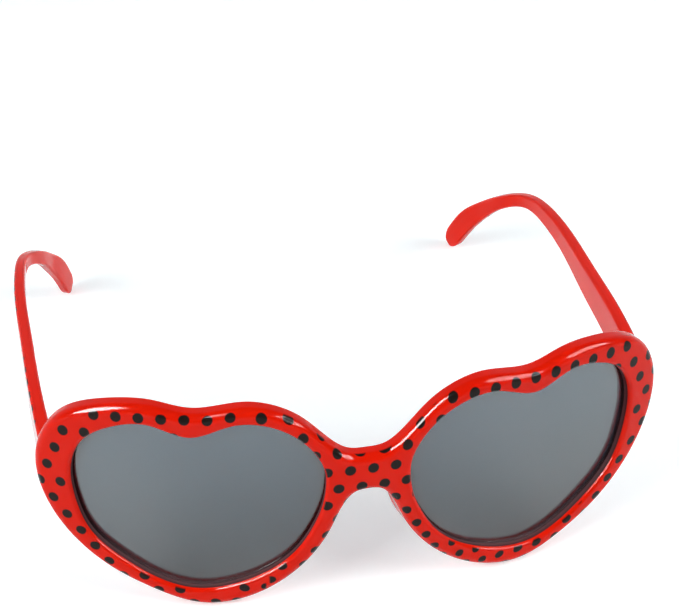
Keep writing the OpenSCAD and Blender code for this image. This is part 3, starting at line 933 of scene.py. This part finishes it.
@dataclass
class EarArm:
    """An arm: a rounded section carried along its middle line to the ear hook's rounded end.

    Its root is where the middle line leaves the back of the front, beside the hinge's pin. A row of
    arm_shares holds the shares of hook_in, arm_run, hook_drop, arm_h and arm_t at one point of the line.
    """

    bend: Bend
    standing: Standing
    side: Side
    root: tuple[float, float, float] = (70.8611, 23.5216, 7.7)
    arm_run: float = 119.0
    arm_h: float = 12.3
    arm_t: float = 3.4
    hook_drop: float = 43.0
    hook_in: float = 15.0
    tip_l: float = 6.3
    butt: float = 4.65
    corner_share: float = 0.26
    print_from: tuple[float, float] = (-1.5, -1.1)
    print_facing: float = 0.6
    crease: float = 40.0
    steps: int = 14
    corner_steps: int = 7
    slide_shares: tuple = (0.04, 0.25, 0.5, 0.75, 0.96)
    tip_turns: tuple = (*np.linspace(8, 80, 10), 84, 87, 89, 90)
    arm_shares: tuple = (
        (0, 0, 0, 1, 1), (-0.04, 0.185, 0.013, 0.84, 0.9), (-0.03, 0.37, 0.06, 0.69, 0.87),
        (-0.015, 0.525, 0.095, 0.52, 0.84), (0.06, 0.66, 0.146, 0.4, 0.79), (0.2, 0.757, 0.225, 0.3, 0.75),
        (0.49, 0.84, 0.382, 0.305, 0.75), (0.66, 0.9, 0.545, 0.385, 0.77), (0.82, 0.944, 0.69, 0.465, 0.77),
        (0.98, 0.99, 0.8965, 0.475, 0.7),
    )

    def section(self, thick: Array, high: Array) -> tuple[Array, Array]:
        """Rounded rectangles, one per station.

        A point is the corner circle's middle plus its radius in a direction. Round a corner the direction
        turns by a quarter; along a side the middle slides from one corner to the next.

        Args:
            thick: the thickness at each station.
            high: the height at each station.

        Returns:
            Points (stations, points, 2), and how far each looks outwards, from -1 to 1.
        """
        corners = np.array([[1, 1], [-1, 1], [-1, -1], [1, -1]])
        slide = np.array(self.slide_shares)[:, None]
        middles, ways = [], []
        for k, corner in enumerate(corners):
            turn = np.radians(90 * k + np.linspace(0, 90, self.corner_steps))
            middles.append(np.repeat(corner[None, :], len(turn), axis=0))
            ways.append(np.stack([np.cos(turn), np.sin(turn)], axis=1))
            middles.append(corner + (corners[(k + 1) % 4] - corner) * slide)
            ways.append(np.repeat(ways[-1][-1:], len(slide), axis=0))
        middle, way = np.concatenate(middles), np.concatenate(ways)
        half = np.stack([thick, high], axis=1)[:, None, :] / 2
        radius = 2 * self.corner_share * half.min(axis=2, keepdims=True)
        return middle[None] * (half - radius) + way[None] * radius, way[:, 0]

    def build(self) -> bpy.types.Object:
        """Makes the arm's mesh.

        The middle line, height and thickness are smooth curves through the listed rows. The end is a
        quarter ellipse: over its turn the section moves on by the sine, its height follows the cosine and its
        thickness the root of the cosine. The first section follows the back of the front, under a cap.

        Returns:
            The arm's object.
        """
        shares = np.array(self.arm_shares)
        line = np.array(self.root) + shares[:, :3] * [-self.hook_in, self.arm_run, -self.hook_drop]
        knots = np.concatenate([line, shares[:, 3:4] * self.arm_h, shares[:, 4:5] * self.arm_t], axis=1)
        index = np.linspace(0, len(knots) - 1, (len(knots) - 1) * self.steps + 1)
        place, heading = smooth_curve(knots, index, closed=False)
        turn = np.radians(np.array(self.tip_turns))
        ahead = heading[:, :3] / np.linalg.norm(heading[:, :3], axis=1)[:, None]
        tip = place[-1:, :3] + ahead[-1:] * (self.tip_l * np.sin(turn))[:, None]
        middle = np.concatenate([place[:, :3], tip])
        ahead = np.concatenate([ahead, np.repeat(ahead[-1:], len(turn), axis=0)])
        high = np.concatenate([place[:, 3], place[-1, 3] * np.cos(turn)])
        thick = np.concatenate([place[:, 4], place[-1, 4] * np.sqrt(np.cos(turn).clip(0))])
        aside = np.cross(ahead, [0, 0, 1])
        aside /= np.linalg.norm(aside, axis=1)[:, None]
        upward = np.cross(aside, ahead)
        cut, outward = self.section(thick, high)
        ring = middle[:, None] + aside[:, None] * cut[..., :1] + upward[:, None] * cut[..., 1:]
        ring[0, :, 1] = self.bend.behind(ring[0, :, 0], self.butt)
        run = np.concatenate([[0], np.cumsum(np.linalg.norm(np.diff(middle, axis=0), axis=1))])
        marks = np.stack(np.broadcast_arrays(
            run[:, None] + self.print_from[0], cut[..., 1] + high[:, None] / 2 + self.print_from[1],
            (outward > self.print_facing)[None, :]), axis=-1)
        cap = np.repeat(ring[:1].mean(axis=1, keepdims=True), ring.shape[1], axis=1)
        cap[..., 1] = self.bend.behind(cap[..., 0], self.butt)
        ring = np.concatenate([cap, ring])
        marks = np.concatenate([marks[:1] * [1, 1, 0], marks])
        ring[..., 0] *= self.side.value
        columns, rows = ring.shape[:2]
        faces = grid_faces(columns, rows, closed_columns=False, closed_rows=True)
        points = self.standing.place(ring.reshape(-1, 3))
        marked = {Place.PRINT: marks.reshape(-1, 3), Place.GROOVE: np.zeros((len(points), 3))}
        return add_mesh(f"{self.side.word}_ear_arm", points, faces, marked, self.crease)

    def dress(self, piece: bpy.types.Object, finish: bpy.types.Material) -> None:
        """Gives the arm its finish, hangs it on its arm's body and hides the imported temple.

        Args:
            piece: the arm's object.
            finish: its material.
        """
        piece.data.materials.append(finish)
        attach(piece, f"{self.side.word}_arm")
        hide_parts(f"{self.side.word}_temple")


@dataclass
class Hinges:
    """The leaves and screws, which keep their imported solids."""

    nodes: dict[str, bpy.types.Object]
    leaf: HingeMetal = HingeMetal("brushed_nickel_steel_leaf", tone="#C4C5C6", roughness=(0.224, 0.448),
                                  stretch=(0.12, 0.12, 2.5))
    screw: HingeMetal = HingeMetal("turned_nickel_steel_screw", tone="#D8D8D6", roughness=(0.14, 0.28),
                                   stretch=(2.0, 2.0, 0.1))

    def dress(self) -> None:
        """Gives every leaf and screw its metal."""
        leaf, screw = self.leaf.make(), self.screw.make()
        for name, node in self.nodes.items():
            if "hinge" in name:
                node.data.materials.clear()
                node.data.materials.append(screw if name.endswith("screw") else leaf)
                log.info("%s: packed solid in %s", name, node.data.materials[0].name)


# The studio


@dataclass(frozen=True)
class Lamp:
    """One soft rectangular lamp, aimed at the middle of the table.

    Azimuth is degrees from straight in front towards the right, elevation degrees above the table, size the
    width and height of the soft box in millimetres, and level the brightness of its face, where white paper
    has 1. A mirrored lamp only shows in reflections, and one that isn't only lights.
    """

    name: str
    azimuth: float
    elevation: float
    size: tuple[float, float]
    level: float
    mirrored: bool
    reach: float = 1600.0

    def build(self) -> None:
        """Hangs the lamp: its power is level times pi times its area."""
        light = bpy.data.lights.new(self.name, "AREA")
        light.shape = "RECTANGLE"
        light.size, light.size_y = self.size[0] * MM, self.size[1] * MM
        light.energy = self.level * math.pi * light.size * light.size_y
        thing = bpy.data.objects.new(self.name, light)
        a, e = math.radians(self.azimuth), math.radians(self.elevation)
        way = Vector((math.cos(e) * math.sin(a), -math.cos(e) * math.cos(a), math.sin(e)))
        thing.location = way * self.reach * MM
        thing.rotation_euler = way.to_track_quat("Z", "Y").to_euler()
        thing.visible_glossy, thing.visible_diffuse = self.mirrored, not self.mirrored
        bpy.context.scene.collection.objects.link(thing)


@dataclass
class Studio:
    """White table, soft lamps and the camera at the photograph's place."""

    standing: Standing
    eye: tuple[float, float, float] = (-88.527, -397.801, 374.468)
    right: tuple[float, float, float] = (0.97963923, -0.20076573, 0.00032217)
    down: tuple[float, float, float] = (-0.12275593, -0.60025754, -0.79033023)
    focal_px: float = 2403.69
    width_px: int = 680
    sensor: float = 36.0
    sight: tuple[float, float] = (10.0, 20000.0)
    floor_half: float = 3000.0
    floor_points: int = 9
    floor_paper: str = "#E8F1F2"
    floor_glow: float = 0.37
    lamps_end: tuple[float, float] = (450.0, 950.0)
    backdrop: str = "#F4F8FF"
    backdrop_lean: float = 0.6
    backdrop_edge: tuple[float, float] = (-0.1, 0.35)
    levels: tuple[float, float] = (0.14, 0.9)
    lamps: tuple[Lamp, ...] = (
        Lamp("left_softbox", azimuth=-60, elevation=34, size=(900, 620), level=10.08, mirrored=False),
        Lamp("right_softbox", azimuth=60, elevation=34, size=(900, 620), level=8.1, mirrored=False),
        Lamp("left_panel", azimuth=-67, elevation=34, size=(620, 1150), level=100.0, mirrored=True),
        Lamp("right_panel", azimuth=60, elevation=34, size=(980, 700), level=100.0, mirrored=True),
    )

    def floor(self) -> None:
        """A wide sheet of matt white paper, plain white to the eye but for the object's soft shadow.

        Camera, glossy and transmission rays see a share of its white as its own light and the rest as lit
        paper, so the shadow shows. Where the lamps' light ends, the share grows to the whole.
        """
        line = np.linspace(-self.floor_half, self.floor_half, self.floor_points)
        x, y = np.meshgrid(line, line, indexing="ij")
        points = np.stack([x, y, np.zeros_like(x)], axis=-1).reshape(-1, 3) * MM
        mesh = bpy.data.meshes.new("white_table")
        quads = grid_faces(self.floor_points, self.floor_points, closed_columns=False, closed_rows=False)
        mesh.from_pydata(points.tolist(), [], quads.tolist())
        sheet = bpy.data.objects.new("white_table", mesh)
        bpy.context.scene.collection.objects.link(sheet)
        recipe = Recipe("matt_white_table_paper")
        paper = recipe.add("BsdfDiffuse", {"Color": colour(self.floor_paper)})
        place = recipe.add("TexCoord").outputs["Object"]
        away = recipe.add("VectorMath", (place,), operation="LENGTH")
        span = (self.lamps_end[0] * MM, self.lamps_end[1] * MM, self.floor_glow, 1.0)
        share = recipe.add("MapRange", (away, *span), interpolation_type="SMOOTHSTEP")
        path = recipe.add("LightPath").outputs
        seen = recipe.add("Math", (path["Is Camera Ray"], path["Is Glossy Ray"]), operation="MAXIMUM")
        seen = recipe.add("Math", (seen, path["Is Transmission Ray"]), operation="MAXIMUM")
        level = recipe.add("Math", (seen, share), operation="MULTIPLY")
        glow = recipe.add("Emission", {"Color": colour("#FFFFFF"), "Strength": level})
        sheet.data.materials.append(recipe.finish(recipe.add("AddShader", (paper, glow))))

    def room(self) -> None:
        """A white backdrop behind the table and a dim room in front of it and above.

        A direction is on the backdrop by its share of the way back less a lean times its share of the way up,
        eased over the backdrop's edge from the room's level to its own. Camera and let-through rays see plain
        white.
        """
        recipe = Recipe("white_backdrop_room", world=True)
        way = recipe.add("SeparateXYZ", (recipe.add("TexCoord").outputs["Generated"],)).outputs
        back = recipe.add("Math", (way[2], -self.backdrop_lean, way[1]), operation="MULTIPLY_ADD")
        spans = (*self.backdrop_edge, *self.levels)
        wall = recipe.add("MapRange", (back, *spans), interpolation_type="SMOOTHSTEP")
        path = recipe.add("LightPath").outputs
        plain = recipe.add("Math", (path["Is Camera Ray"], path["Is Transmission Ray"]), operation="MAXIMUM")
        level = recipe.add("Math", (plain, wall), operation="MAXIMUM")
        ground = recipe.add("Background", {"Color": colour(self.backdrop), "Strength": level})
        bpy.context.scene.world = recipe.finish(ground)

    def camera(self) -> None:
        """The camera where the photograph was taken from, found from the outline's own points."""
        right, down = (self.standing.turn(np.array(way)) for way in (self.right, self.down))
        ahead = np.cross(right, down)
        data = bpy.data.cameras.new("photo_view")
        data.sensor_fit = "HORIZONTAL"
        data.sensor_width = self.sensor
        data.lens = self.focal_px / self.width_px * self.sensor
        data.clip_start, data.clip_end = self.sight[0] * MM, self.sight[1] * MM
        thing = bpy.data.objects.new("photo_view", data)
        spin = Matrix(np.stack([right, -down, -ahead], axis=1).tolist()).to_4x4()
        where = self.standing.place(np.array(self.eye))
        thing.matrix_world = Matrix.Translation(Vector(where)) @ spin
        bpy.context.scene.collection.objects.link(thing)
        bpy.context.scene.camera = thing

    def build(self) -> None:
        """The whole studio: the table, the room's light, the lamps in order and the camera."""
        bpy.context.scene.view_settings.view_transform = "Standard"
        self.floor()
        self.room()
        for lamp in self.lamps:
            lamp.build()
        self.camera()


def main() -> None:
    logging.basicConfig(level=logging.INFO, format="%(message)s")
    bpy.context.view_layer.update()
    outline, bend, standing = HeartOutline(), Bend(), Standing()
    front = FrontMoulding(outline, bend, standing)
    front.dress(front.build(), DottedPlastic("dotted_red_polycarbonate_front").make())
    tinted = SmokeLens().make()
    red_arm = DottedPlastic("dotted_red_polycarbonate_arm", red="#E61E04", deep_red="#DD1703", shine=0.06,
                            step_up=4.55).make()
    for side in Side:
        lens = HeartLens(outline, bend, standing, side)
        lens.dress(lens.build(), tinted)
        arm = EarArm(bend, standing, side)
        arm.dress(arm.build(), red_arm)
    Hinges(frame["nodes"]).dress()
    Studio(standing).build()
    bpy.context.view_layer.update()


if __name__ == "__main__":
    main()
